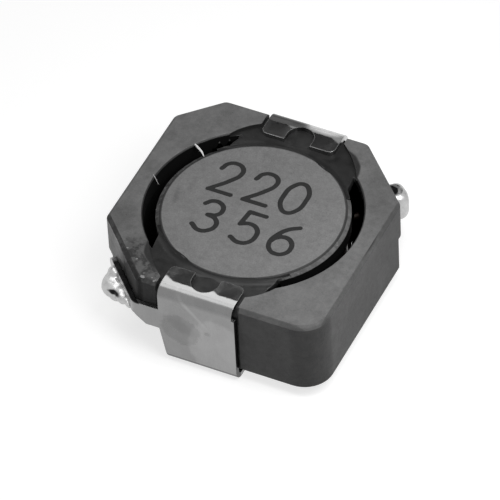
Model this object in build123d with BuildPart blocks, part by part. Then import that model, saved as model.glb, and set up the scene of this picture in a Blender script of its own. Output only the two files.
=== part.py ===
"""Shielded surface-mount power inductor: a ferrite drum wound with enamelled copper wire, glued
into a square ferrite ring, with two folded terminals clipped over the ring and a wire end
soldered to the corner arm of each. Millimetres. The origin is at the centre of the footprint on
the board, +Z is up, the front terminal is at -Y. Apart from its two unwired corners the part
looks the same after half a turn about Z."""

import os
from math import cos, radians, sin, sqrt

from build123d import *

# Terminal sheet
sheet = 0.20              # thickness of the tinned strip
bend_inner = 0.25         # inner radius of every fold
seat_gap = 0.01           # play between a terminal and the ring, above and below
side_gap = 0.02           # play between a side plate and the ring's flank

# Ferrite ring
shield_width = 10.10      # across the flats, both ways
shield_height = 3.57
bore_wall = 0.80          # left between the bore and the middle of each flank
top_bevel = 0.16          # outer edge of the top face
bore_bevel = 0.06         # upper edge of the bore
bevel_relief = 0.10       # how much the lower bevel exceeds the terminal's inner fold
wired_margin = 0.80       # flank left between a terminal's seat and its wired corner's cut
plain_chamfer = 1.50      # leg of the back-left corner
round_corner = 1.15       # radius of the front-right corner
corner_soft = 0.40        # rounding where a corner cut meets a flank

# Terminal seat in the ring's top
slot_depth = 0.19
slot_play = 0.16          # room beside the tab, each side
broad_reach = 0.35        # the broad flare leaves the slot wall this far outside the bore's radius
broad_angle = 44.0        # where it meets the bore, degrees from the terminal's direction
narrow_reach = 0.10       # the same for the narrow flare, on the slot's other side
narrow_angle = 38.0
flare_bulge = 0.10        # how far a flare bows outward

# Window in the ring's lower edge at a wired corner
window_rise = 0.05        # its top lies this far above the arm's lower edge at the corner
window_tuck = 0.34        # it runs this far behind the terminal's plate
window_margin = 0.30      # and this far past the corner cut, along the neighbouring flank

# Ferrite drum
drum_gap = 0.50           # ring gap between drum and bore
drum_recess = 0.12        # the disc lies this far below the ring's top
flange_thickness = 0.75
winding_room = 1.75       # from the post to the flanges' rim
post_fillet = 0.15
rim_width = 0.21          # bevel on each flange's rim, across
rim_drop = 0.12           # and down

# Winding
wire_diameter = 0.31
winding_play = 0.03       # between the wire and the ferrite
winding_inset = 0.20      # the outer layer lies this far inside the flanges' rim

# Terminal outline
tab_width = 3.08
tab_to_drum = 0.17        # clearance between the tab's end and the disc
tab_corner = 0.25
notch_radius = 0.55       # glue notch in the tab
notch_bridge = 0.49       # metal left between the notch and the side plate's face
shoulder_width = 0.12     # the plate is wider than the tab by this, on the side without the arm
shoulder_drop = 0.55      # and the shoulder lies this far below the tab
taper_width = 0.30        # how much the plate narrows under the arm
foot_length = 1.42
foot_corner = 0.20

# Arm to the wired corner
arm_rise = 0.16           # its middle, above the middle of the ring
arm_height = 0.99
arm_run = 0.56            # it keeps that height for this far past the plate
tip_height = 0.60         # then its lower edge slants up, to this height along the corner
tip_flat = 0.04           # left between the two roundings of its tip
arm_gap = 0.05            # between the arm and the corner's flank
arm_reach = 0.80          # how far it runs past the middle of the corner

# Wire end on the arm
lead_gap = 0.05           # between the wire and the arm's lower edge and face
lead_bend = 0.26          # centre-line radius where the wire turns up
lead_rise = 0.20          # it ends this far above the middle of the solder

# Solder joint on the arm
solder_radius = 0.47
solder_stand = 0.19       # its axis stands this far off the arm's face
solder_drop = 0.03        # and this far below the arm's lower edge
front_solder_length = 1.06
back_solder_length = 1.40
tail_radius = 0.40        # start of the solder that runs out along the arm
front_tail = 1.45         # how far it runs, from the middle of the corner
back_tail = 1.00

# Adhesive between drum, ring and tab
adhesive_depth = 0.60     # how deep it reaches into the ring gap
adhesive_sag = 0.05       # hollow of its free surface
adhesive_broad = 43.0     # its sector, in degrees from the terminal's direction, each way
adhesive_narrow = 28.0
dome_radius = 0.46        # the bead standing in the tab's notch
dome_height = 0.13

# Heights
shield_bottom = sheet + seat_gap
shield_top = shield_bottom + shield_height
slot_floor = shield_top - slot_depth
tab_bottom = slot_floor + seat_gap
tab_top = tab_bottom + sheet
drum_bottom = shield_bottom
drum_top = shield_top - drum_recess
arm_level = (shield_bottom + shield_top) / 2 + arm_rise
arm_bottom = arm_level - arm_height / 2
arm_top = arm_bottom + arm_height
arm_edge = arm_top - tip_height
window_top = arm_edge + window_rise
foot_bevel = bend_inner + bevel_relief

# Places in plan
half_width = shield_width / 2
slot_half = tab_width / 2 + slot_play
wired_chamfer = half_width - slot_half - wired_margin
bore_radius = half_width - bore_wall
broad_start = bore_radius + broad_reach
narrow_start = bore_radius + narrow_reach
window_front = tab_width / 2 - window_tuck
window_side = half_width - wired_chamfer - window_margin
plate_face = half_width + side_gap + sheet
plate_middle = plate_face - sheet / 2
fold_radius = bend_inner + sheet / 2
flange_radius = bore_radius - drum_gap
post_radius = flange_radius - winding_room
tab_end = flange_radius + tab_to_drum
wired_flank = (shield_width - wired_chamfer) / sqrt(2)
arm_middle = wired_flank + arm_gap + sheet / 2
arm_face = wired_flank + arm_gap + sheet
arm_bend_x = arm_middle * sqrt(2) - plate_middle
arm_tip_x = (arm_middle + arm_reach) / sqrt(2)
arm_tip_y = (arm_middle - arm_reach) / sqrt(2)
lead_radius = arm_face + lead_gap + wire_diameter / 2
lead_height = arm_edge - lead_gap - wire_diameter / 2
solder_height = arm_edge - solder_drop

HALF_TURN = (0, 0, 180)
CUT = 1.0                 # how far a cutter runs past what it cuts

# Directions at the front-left corner: out through it, and level along its cut
OUTWARD = Vector(-1, -1, 0).normalized()
ALONG = Vector(-1, 1, 0).normalized()


def end_plane(height, turn):
    """Level plane at a height, with its +Y towards the terminal at the back (0) or front (180)."""
    return Plane.XY.offset(height).rotated((0, 0, turn))


def on_bore(angle):
    """Point of the bore's edge at an angle from +Y, positive towards +X."""
    return (bore_radius * sin(radians(angle)), bore_radius * cos(radians(angle)))


def bowed(start, end, bulge):
    """Arc from start to end that bows by bulge to its left."""
    chord = Vector(*end) - Vector(*start)
    side = Vector(-chord.Y, chord.X).normalized() * bulge
    middle = (Vector(*start) + Vector(*end)) * 0.5 + side
    return ThreePointArc(start, middle, end)


# Ferrite ring: pressed square ring with one plain, one rounded and two wired corners
with BuildPart() as shield_core:
    with BuildSketch(Plane.XY.offset(shield_bottom)) as shield_outline:
        Rectangle(shield_width, shield_width)
        chamfer(shield_outline.vertices().filter_by(lambda v: v.X * v.Y > 0), wired_chamfer)
        chamfer(shield_outline.vertices().filter_by(lambda v: v.X < 0 < v.Y), plain_chamfer)
        fillet(shield_outline.vertices().filter_by(lambda v: not v.X > 0 > v.Y), corner_soft)
        fillet(shield_outline.vertices().filter_by(lambda v: v.X > 0 > v.Y), round_corner)
    extrude(amount=shield_height)
    chamfer(shield_core.faces().sort_by(Axis.Z)[0].edges(), foot_bevel)
    chamfer(shield_core.faces().sort_by(Axis.Z)[-1].edges(), top_bevel)

    with BuildSketch(Plane.XY.offset(shield_bottom)):
        Circle(bore_radius)
    extrude(amount=shield_height, mode=Mode.SUBTRACT)
    chamfer(shield_core.edges().filter_by(GeomType.CIRCLE).group_by(Axis.Z)[-1]
            .sort_by(SortBy.RADIUS)[-1], bore_bevel)

    for turn in (0, 180):
        # Seat of the tab, with its outer edge broken to clear the terminal's fold
        with BuildSketch(end_plane(slot_floor, turn)):
            with BuildLine():
                Line((slot_half, half_width + CUT), (slot_half, broad_start))
                bowed((slot_half, broad_start), on_bore(broad_angle), flare_bulge)
                Polyline(on_bore(broad_angle), (0, 0), on_bore(-narrow_angle))
                bowed(on_bore(-narrow_angle), (-slot_half, narrow_start), flare_bulge)
                Polyline((-slot_half, narrow_start), (-slot_half, half_width + CUT),
                         (slot_half, half_width + CUT))
            make_face()
        extrude(amount=slot_depth + CUT, mode=Mode.SUBTRACT)
        fold_edge = end_plane(slot_floor, turn).from_local_coords((0, half_width, 0))
        chamfer(shield_core.edges().sort_by_distance(fold_edge)[0], bend_inner)

        # Window for the wire, open below and through the wall at the wired corner
        with BuildSketch(end_plane(shield_bottom, turn)):
            with Locations(((half_width + CUT + window_front) / 2,
                            (half_width + CUT + window_side) / 2)):
                Rectangle(half_width + CUT - window_front, half_width + CUT - window_side)
        extrude(amount=window_top - shield_bottom, mode=Mode.SUBTRACT)

# Ferrite drum: turned bobbin, its upper flange is the disc in the ring's bore
with BuildPart() as drum_core:
    with BuildSketch(Plane.XZ) as drum_profile:
        with BuildLine():
            Polyline(
                (0, drum_bottom),
                (flange_radius - rim_width, drum_bottom),
                (flange_radius, drum_bottom + rim_drop),
                (flange_radius, drum_bottom + flange_thickness),
                (post_radius, drum_bottom + flange_thickness),
                (post_radius, drum_top - flange_thickness),
                (flange_radius, drum_top - flange_thickness),
                (flange_radius, drum_top - rim_drop),
                (flange_radius - rim_width, drum_top),
                (0, drum_top),
                close=True,
            )
        make_face()
        post_corners = drum_profile.vertices().group_by(Axis.X)[1]
        fillet(post_corners, post_fillet)
    revolve(axis=Axis.Z)

# Winding: layers of round wire on the post, the outer turns showing as ridges, with both ends
# led out through the ring's windows and up the face of an arm
reel_height = drum_top - drum_bottom - 2 * (flange_thickness + winding_play)
turns_high = int(reel_height / wire_diameter)
winding_height = turns_high * wire_diameter
winding_middle = (drum_bottom + drum_top) / 2
winding_inner = post_radius + post_fillet + winding_play
outer_layer = flange_radius - winding_inset - wire_diameter / 2

with BuildPart() as winding:
    with BuildSketch(Plane.XZ):
        with Locations(((winding_inner + outer_layer) / 2, winding_middle)):
            Rectangle(outer_layer - winding_inner, winding_height)
        with Locations((outer_layer, winding_middle)):
            with GridLocations(wire_diameter, wire_diameter, 1, turns_high):
                Circle(wire_diameter / 2)
    revolve(axis=Axis.Z)
    for turn in (0, 180):
        outward = OUTWARD.rotate(Axis.Z, turn)
        lead_plane = Plane(origin=(0, 0, 0), x_dir=outward, z_dir=ALONG.rotate(Axis.Z, turn))
        with BuildLine(lead_plane) as lead:
            FilletPolyline(
                (outer_layer - wire_diameter, lead_height),
                (lead_radius, lead_height),
                (lead_radius, solder_height + lead_rise),
                radius=lead_bend,
            )
        with BuildSketch(lead.line ^ 0):
            Circle(wire_diameter / 2)
        sweep(path=lead.line)

# Front terminal: one strip folded over the ring and under it, with an arm to the wired corner
with BuildPart() as front_terminal:
    # Folded strip seen from the side: tab, side plate and foot
    with BuildSketch(Plane.YZ.offset(-tab_width / 2)):
        with BuildLine():
            FilletPolyline(
                (-tab_end, tab_bottom + sheet / 2),
                (-plate_middle, tab_bottom + sheet / 2),
                (-plate_middle, sheet / 2),
                (-plate_face + foot_length, sheet / 2),
                radius=fold_radius,
            )
        trace(line_width=sheet)
    extrude(amount=tab_width + shoulder_width)
    foot_tips = front_terminal.edges().filter_by(Axis.Z).filter_by_position(Axis.Z, 0, sheet)
    fillet(foot_tips, foot_corner)

    # Away from the arm, the tab is narrower than the plate, down to a shoulder below the fold
    with BuildSketch(Plane.XY.offset(tab_top - shoulder_drop)):
        with Locations((tab_width / 2, -plate_face)):
            Rectangle(CUT, 2 * (plate_face - tab_end) + CUT, align=(Align.MIN, Align.CENTER))
    extrude(amount=shoulder_drop + CUT, mode=Mode.SUBTRACT)
    tab_tips = front_terminal.edges().filter_by(Axis.Z).filter_by_position(
        Axis.Z, tab_bottom, tab_top).sort_by(Axis.Y)[-2:]
    fillet(tab_tips, tab_corner)

    # Glue notch: half-round inner end, open at the tab's end
    notch_centre = plate_face - notch_bridge - notch_radius
    with BuildSketch(Plane.XY.offset(tab_bottom - seat_gap)):
        with Locations((0, -notch_centre)):
            Circle(notch_radius)
            Rectangle(2 * notch_radius, notch_centre, align=(Align.CENTER, Align.MIN))
    extrude(amount=sheet + CUT, mode=Mode.SUBTRACT)

    # Under the arm the plate's edge slants in towards the foot
    with BuildSketch(Plane.XZ.offset(tab_end - CUT)):
        with BuildLine():
            Polyline(
                (-tab_width / 2, arm_bottom),
                (-tab_width / 2 + taper_width, 0),
                (-tab_width / 2 + taper_width, -CUT),
                (-tab_width / 2 - CUT, -CUT),
                (-tab_width / 2 - CUT, arm_bottom),
                close=True,
            )
        make_face()
    extrude(amount=plate_face - tab_end + 2 * CUT, mode=Mode.SUBTRACT)

    # Arm: the same sheet, running on beside the plate and bent along the wired corner
    with BuildSketch(Plane.XY.offset(arm_bottom)):
        with BuildLine():
            FilletPolyline(
                (-tab_width / 2 + sheet, -plate_middle),
                (-arm_bend_x, -plate_middle),
                (-arm_tip_x, -arm_tip_y),
                radius=fold_radius,
            )
        trace(line_width=sheet)
    extrude(amount=arm_height)

    # The arm's lower edge slants up towards the bend and stays higher along the corner
    with BuildSketch(Plane.XZ.offset(arm_tip_y - CUT)):
        with BuildLine():
            Polyline(
                (-tab_width / 2 - arm_run, arm_bottom),
                (-arm_bend_x, arm_edge),
                (-half_width, arm_edge),
                (-half_width, arm_bottom - CUT),
                (-tab_width / 2 - arm_run, arm_bottom - CUT),
                close=True,
            )
        make_face()
    extrude(amount=plate_face - arm_tip_y + 2 * CUT, mode=Mode.SUBTRACT)
    arm_tip = Vector(-arm_tip_x, -arm_tip_y, (arm_edge + arm_top) / 2)
    tip_edges = front_terminal.faces().sort_by_distance(arm_tip)[0].edges().group_by(Axis.Z)
    fillet(tip_edges[0] + tip_edges[-1], (tip_height - tip_flat) / 2)

# Back terminal: the same stamping after half a turn
with BuildPart() as back_terminal:
    add(front_terminal.part, rotation=HALF_TURN)

# Solder joints: round-ended beads on an arm's face, each holding its wire end and running out to
# a point along the arm
solder_joints = []
for turn, length, tail in ((0, front_solder_length, front_tail),
                           (180, back_solder_length, back_tail)):
    outward = OUTWARD.rotate(Axis.Z, turn)
    along = ALONG.rotate(Axis.Z, turn)
    root = outward * arm_face + Vector(0, 0, solder_height)
    middle = root + outward * solder_stand
    with BuildPart() as solder_joint:
        with BuildSketch(Plane(origin=middle, x_dir=along, z_dir=(0, 0, 1))):
            SlotOverall(length, 2 * solder_radius)
            Rectangle(length, solder_radius, align=(Align.CENTER, Align.MAX), mode=Mode.SUBTRACT)
        revolve(axis=Axis(middle, along))
        with BuildSketch(Plane(origin=root, x_dir=along, z_dir=(0, 0, 1))):
            with BuildLine():
                Polyline((0, 0), (-tail, 0), (0, tail_radius), close=True)
            make_face()
        revolve(axis=Axis(root, along))
        split(bisect_by=Plane(origin=root, z_dir=outward))
        add(winding.part, mode=Mode.SUBTRACT)
    solder_joints.append(solder_joint)
front_solder, back_solder = solder_joints

# Adhesive: a bead in the ring gap under the tab's end, standing up as a dome in the notch
with BuildPart() as back_adhesive:
    bead_low = drum_top - adhesive_depth
    rim_level = drum_top - rim_drop
    sag_level = (rim_level + slot_floor) / 2 - adhesive_sag
    start = Vector(*on_bore(adhesive_broad))
    with BuildSketch(Plane(origin=(0, 0, 0), x_dir=start, z_dir=start.cross(Vector(0, 0, 1)))):
        with BuildLine():
            Polyline(
                (flange_radius, rim_level),
                (flange_radius, bead_low),
                (bore_radius, bead_low),
                (bore_radius, slot_floor),
            )
            ThreePointArc(
                (bore_radius, slot_floor),
                ((flange_radius + bore_radius) / 2, sag_level),
                (flange_radius, rim_level),
            )
        make_face()
    revolve(axis=Axis.Z, revolution_arc=adhesive_broad + adhesive_narrow)
    with BuildSketch(Plane.YZ):
        with BuildLine():
            Line((notch_centre, rim_level), (notch_centre + dome_radius, rim_level))
            Line((notch_centre + dome_radius, rim_level), (notch_centre + dome_radius, slot_floor))
            ThreePointArc(
                (notch_centre + dome_radius, slot_floor),
                (notch_centre + dome_radius * cos(radians(45)),
                 slot_floor + dome_height * sin(radians(45))),
                (notch_centre, slot_floor + dome_height),
            )
            Line((notch_centre, slot_floor + dome_height), (notch_centre, rim_level))
        make_face()
    revolve(axis=Axis((0, notch_centre, 0), (0, 0, 1)))
    add(shield_core.part, mode=Mode.SUBTRACT)
    add(drum_core.part, mode=Mode.SUBTRACT)
    add(back_terminal.part, mode=Mode.SUBTRACT)

with BuildPart() as front_adhesive:
    add(back_adhesive.part, rotation=HALF_TURN)

os.makedirs("parts", exist_ok=True)
for name, piece in {
    "shield_core": shield_core,
    "drum_core": drum_core,
    "winding": winding,
    "front_terminal": front_terminal,
    "back_terminal": back_terminal,
    "front_solder": front_solder,
    "back_solder": back_solder,
    "front_adhesive": front_adhesive,
    "back_adhesive": back_adhesive,
}.items():
    piece.part.label = name
    export_step(piece.part, f"parts/{name}.step")
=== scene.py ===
"""Finish of the shielded surface-mount inductor.

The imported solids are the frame. This script gives each of them its finish, models what the solids
leave plain, which is the solder, the adhesive, the flux residue, the loose strands and the
stamped numbers, and sets up the camera, the floor and the light. Lengths are in metres. The part
stands on z = 0 and its front terminal faces -Y.
"""

import logging
from collections.abc import Callable, Sequence
from dataclasses import dataclass
from enum import Enum
from functools import reduce
from math import cos, exp, hypot, pi, radians, sin, sqrt

import bmesh
import bpy
from mathutils import Matrix, Quaternion, Vector, noise


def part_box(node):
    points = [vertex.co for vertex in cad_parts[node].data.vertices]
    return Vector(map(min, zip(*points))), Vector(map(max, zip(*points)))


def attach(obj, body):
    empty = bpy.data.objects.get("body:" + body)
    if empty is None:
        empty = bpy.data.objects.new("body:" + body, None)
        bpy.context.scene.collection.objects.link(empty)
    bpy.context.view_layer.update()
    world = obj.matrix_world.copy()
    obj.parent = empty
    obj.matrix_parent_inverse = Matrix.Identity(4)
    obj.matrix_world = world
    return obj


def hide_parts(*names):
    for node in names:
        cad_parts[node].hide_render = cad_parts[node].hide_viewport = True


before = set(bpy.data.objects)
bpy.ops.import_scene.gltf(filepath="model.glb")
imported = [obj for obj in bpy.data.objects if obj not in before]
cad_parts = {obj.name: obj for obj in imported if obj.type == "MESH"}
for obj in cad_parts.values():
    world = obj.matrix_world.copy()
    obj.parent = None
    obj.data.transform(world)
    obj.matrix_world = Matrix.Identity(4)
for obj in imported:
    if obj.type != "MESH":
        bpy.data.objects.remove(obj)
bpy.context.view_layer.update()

MM = 0.001
LOG = logging.getLogger("inductor")

Number = "Field | float"


class Side(Enum):
    """The two halves of the part, named by where the terminal is, with their turn about Z."""

    FRONT = "front"
    BACK = "back"

    @property
    def turn(self) -> float:
        """Turn about Z that brings a piece designed at the back to this side."""
        return pi if self is Side.FRONT else 0.0


@dataclass(frozen=True)
class Layout:
    """Sizes of the solids that the finish has to meet, read from the frame where it gives them."""

    ring_top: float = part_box("shield_core")[1].z
    drum_top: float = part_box("drum_core")[1].z
    drum_radius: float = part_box("drum_core")[1].x
    plate_half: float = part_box("front_terminal")[1].x
    bore_radius: float = 4.25 * MM
    slot_depth: float = 0.19 * MM
    fold_start: float = 4.80 * MM
    cut_distance: float = 5.339 * MM
    top_bevel: float = 0.16 * MM
    arm_face: float = 5.589 * MM

    @property
    def slot_floor(self) -> float:
        """Height of the terminal's seat."""
        return self.ring_top - self.slot_depth


PLAN = Layout()
OUTWARD = Vector((-1, -1, 0)).normalized()
ALONG = Vector((-1, 1, 0)).normalized()
UP = Vector((0, 0, 1))


@dataclass(frozen=True)
class Field:
    """A number that varies over a surface, held by the output socket of a node."""

    tree: bpy.types.NodeTree
    socket: bpy.types.NodeSocket

    def math(self, operation: str, *operands: Number) -> "Field":
        """Combine this number with others.

        Args:
            operation: Name of the node's operation.
            operands: The other numbers, in the node's order.

        Returns:
            The result.
        """
        node = self.tree.nodes.new("ShaderNodeMath")
        node.operation = operation
        for place, operand in zip(node.inputs, (self, *operands)):
            if isinstance(operand, Field):
                self.tree.links.new(operand.socket, place)
            else:
                place.default_value = operand
        return Field(self.tree, node.outputs[0])

    def __add__(self, other: Number) -> "Field":
        """Sum."""
        return self.math("ADD", other)

    def __sub__(self, other: Number) -> "Field":
        """Difference."""
        return self.math("SUBTRACT", other)

    def __mul__(self, other: Number) -> "Field":
        """Product."""
        return self.math("MULTIPLY", other)

    def __truediv__(self, other: Number) -> "Field":
        """Quotient."""
        return self.math("DIVIDE", other)

    def __abs__(self) -> "Field":
        """Size without its sign."""
        return self.math("ABSOLUTE")

    def larger(self, other: Number) -> "Field":
        """The larger of the two."""
        return self.math("MAXIMUM", other)

    def inverted(self) -> "Field":
        """One minus this number."""
        return (self * -1.0) + 1.0

    def step(self, low: float, high: float, start: float = 0.0, end: float = 1.0) -> "Field":
        """Smooth change from one value to another.

        Args:
            low: Where the change begins.
            high: Where it ends, above low.
            start: Value up to low.
            end: Value from high on.

        Returns:
            The eased value.
        """
        node = self.tree.nodes.new("ShaderNodeMapRange")
        node.interpolation_type = "SMOOTHSTEP"
        self.tree.links.new(self.socket, node.inputs["Value"])
        for name, value in (("From Min", low), ("From Max", high),
                            ("To Min", start), ("To Max", end)):
            node.inputs[name].default_value = value
        return Field(self.tree, node.outputs["Result"])


@dataclass(frozen=True)
class Oval:
    """Soft oval mark on a surface, in millimetres and radians."""

    centre: tuple[float, float]
    reach: tuple[float, float]
    turn: float = 0.0
    softness: float = 0.3


class Surface:
    """Node material whose patterns are read in millimetres of the part's own frame."""

    def __init__(self, name: str, turn: float = 0.0) -> None:
        """Start a material.

        Args:
            name: Its name.
            turn: Turn about Z that the pattern is given, in radians.
        """
        self.material = bpy.data.materials.new(name)
        self.material.use_nodes = True
        self.tree = self.material.node_tree
        self.shader = self.tree.nodes["Principled BSDF"]
        place = self.tree.nodes.new("ShaderNodeTexCoord")
        mapping = self.tree.nodes.new("ShaderNodeMapping")
        mapping.inputs["Scale"].default_value = (1 / MM, 1 / MM, 1 / MM)
        mapping.inputs["Rotation"].default_value = (0.0, 0.0, turn)
        self.tree.links.new(place.outputs["Object"], mapping.inputs["Vector"])
        self.position = mapping.outputs["Vector"]
        split = self.tree.nodes.new("ShaderNodeSeparateXYZ")
        self.tree.links.new(self.position, split.inputs[0])
        self.x, self.y, self.z = (Field(self.tree, output) for output in split.outputs)
        self.radius = (self.x * self.x + self.y * self.y).math("SQRT")

    @property
    def outward(self) -> Field:
        """Distance from the axis towards the front terminal's wired corner."""
        return (self.x * -1.0 - self.y) * sqrt(0.5)

    @property
    def along(self) -> Field:
        """Distance along that corner's cut, towards the left flank."""
        return (self.y - self.x) * sqrt(0.5)

    def moved(self, offset: Sequence[float],
              stretch: Sequence[float] = (1, 1, 1)) -> bpy.types.NodeSocket:
        """Place of a pattern that is shifted or stretched.

        Args:
            offset: Shift in millimetres.
            stretch: Factor along each axis.

        Returns:
            The changed coordinates.
        """
        mapping = self.tree.nodes.new("ShaderNodeMapping")
        mapping.inputs["Location"].default_value = tuple(offset)
        mapping.inputs["Scale"].default_value = tuple(stretch)
        self.tree.links.new(self.position, mapping.inputs["Vector"])
        return mapping.outputs["Vector"]

    def noise(self, size: float, detail: float = 2.0, roughness: float = 0.5,
              place: bpy.types.NodeSocket | None = None) -> Field:
        """Soft random pattern, around a half.

        Args:
            size: Size of its features in millimetres.
            detail: Number of finer layers.
            roughness: Strength of the finer layers.
            place: Coordinates, if not the part's own.

        Returns:
            The pattern.
        """
        node = self.tree.nodes.new("ShaderNodeTexNoise")
        node.inputs["Scale"].default_value = 1 / size
        node.inputs["Detail"].default_value = detail
        node.inputs["Roughness"].default_value = roughness
        self.tree.links.new(place or self.position, node.inputs["Vector"])
        return Field(self.tree, node.outputs[0])

    def grains(self, size: float, place: bpy.types.NodeSocket | None = None) -> Field:
        """Distance to the nearest of scattered grains, in grain sizes.

        Args:
            size: Spacing of the grains in millimetres.
            place: Coordinates, if not the part's own.

        Returns:
            The distance.
        """
        node = self.tree.nodes.new("ShaderNodeTexVoronoi")
        node.inputs["Scale"].default_value = 1 / size
        self.tree.links.new(place or self.position, node.inputs["Vector"])
        return Field(self.tree, node.outputs["Distance"])

    def mark(self, across: Field, up: Field, oval: Oval, warp: Number = 0.0) -> Field:
        """Mask that is one inside an oval and fades out over its edge.

        Args:
            across: First coordinate in millimetres.
            up: Second coordinate.
            oval: The oval in these coordinates.
            warp: Added to the distance, to make the edge uneven.

        Returns:
            The mask.
        """
        right, high = across - oval.centre[0], up - oval.centre[1]
        first = (right * cos(oval.turn) + high * sin(oval.turn)) / oval.reach[0]
        second = (high * cos(oval.turn) - right * sin(oval.turn)) / oval.reach[1]
        distance = (first * first + second * second).math("SQRT") + warp
        return distance.step(1.0 - oval.softness, 1.0 + oval.softness, 1.0, 0.0)

    def blend(self, factor: Field, first: Sequence[float] | Field,
              second: Sequence[float] | Field) -> Field:
        """Mix two colours.

        Args:
            factor: Zero for the first, one for the second.
            first: A colour, or a grey that varies.
            second: The other.

        Returns:
            The mixed colour.
        """
        node = self.tree.nodes.new("ShaderNodeMix")
        node.data_type = "RGBA"
        self.tree.links.new(factor.socket, node.inputs["Factor"])
        for name, value in (("A", first), ("B", second)):
            place = next(i for i in node.inputs if i.name == name and i.type == "RGBA")
            if isinstance(value, Field):
                self.tree.links.new(value.socket, place)
            else:
                place.default_value = (*value, 1.0)
        return Field(self.tree, next(o for o in node.outputs if o.type == "RGBA"))

    def relief(self, height: Field, depth: float, strength: float = 1.0) -> None:
        """Tilt the surface as if it rose and fell.

        Args:
            height: The pattern.
            depth: Height of one unit of it, in metres.
            strength: Share of the effect.
        """
        node = self.tree.nodes.new("ShaderNodeBump")
        node.inputs["Distance"].default_value = depth
        node.inputs["Strength"].default_value = strength
        self.tree.links.new(height.socket, node.inputs["Height"])
        normal = self.shader.inputs["Normal"]
        if normal.is_linked:
            self.tree.links.new(normal.links[0].from_socket, node.inputs["Normal"])
        self.tree.links.new(node.outputs["Normal"], normal)

    def soften_edges(self, radius: float) -> None:
        """Round the shading of sharp edges.

        Args:
            radius: Radius of the rounding in metres.
        """
        node = self.tree.nodes.new("ShaderNodeBevel")
        node.samples = 6
        node.inputs["Radius"].default_value = radius
        self.tree.links.new(node.outputs["Normal"], self.shader.inputs["Normal"])

    def vary(self, **channels: Field) -> None:
        """Link varying numbers to the shader's sockets.

        Args:
            channels: The numbers, by socket name with underscores for spaces.
        """
        for name, value in channels.items():
            place = name.replace("_", " ").title().replace("Ior", "IOR")
            self.tree.links.new(value.socket, self.shader.inputs[place])

    def settle(self, **channels: float) -> None:
        """Set uniform numbers on the shader's own sockets.

        Args:
            channels: The numbers, by socket name or by its short name here.
        """
        names = {"specular": "Specular IOR Level", "coat": "Coat Weight",
                 "coat_roughness": "Coat Roughness"}
        for name, value in channels.items():
            self.shader.inputs[names.get(name, name.title())].default_value = value


@dataclass(frozen=True)
class FerriteFinish:
    """Matt sintered ferrite: dark grey, fine grained and faintly mottled."""

    name: str
    tone: float
    mottling: float = 0.10
    grain: float = 0.30
    roughness: float = 0.62
    gloss: float = 0.26
    shade_tone: float = 0.008
    shade_gloss: float = 0.02

    def ground(self, surface: Surface) -> Field:
        """Grey of the dry ferrite.

        Args:
            surface: The material it is for.

        Returns:
            Its tone over the surface.
        """
        clouds = surface.noise(0.95, 3.0, 0.6).step(0.36, 0.64, -1.0, 1.0)
        patches = surface.noise(0.27, 2.0, 0.5, surface.moved((5, 8, 2))).step(0.3, 0.7, -1.0, 1.0)
        fine = surface.noise(0.06, 3.0, 0.7) - 0.5 + (surface.noise(0.17, 2.0, 0.6) - 0.5) * 0.6
        specks = surface.grains(0.10).step(0.10, 0.22, 1.0, 0.0)
        bright = surface.noise(0.35, 1.0).step(0.62, 0.70) * specks
        pits = surface.grains(0.17, surface.moved((3.1, 7.7, 1.9))).step(0.07, 0.16, 1.0, 0.0)
        pits = pits * surface.noise(0.6, 1.0, place=surface.moved((9, 2, 4))).step(0.5, 0.62)
        shade = clouds * self.mottling + patches * (0.5 * self.mottling)
        tone = (shade + fine * (2 * self.grain) + 1.0) * self.tone
        return tone * (bright * 0.35 + 1.0) * (pits * -0.35 + 1.0)

    def texture(self, surface: Surface) -> None:
        """Fine relief of the sintered skin."""
        surface.relief(surface.noise(0.08, 3.0, 0.65), 0.012 * MM, 0.5)
        surface.relief(surface.noise(0.9, 2.0), 0.03 * MM, 0.35)


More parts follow.
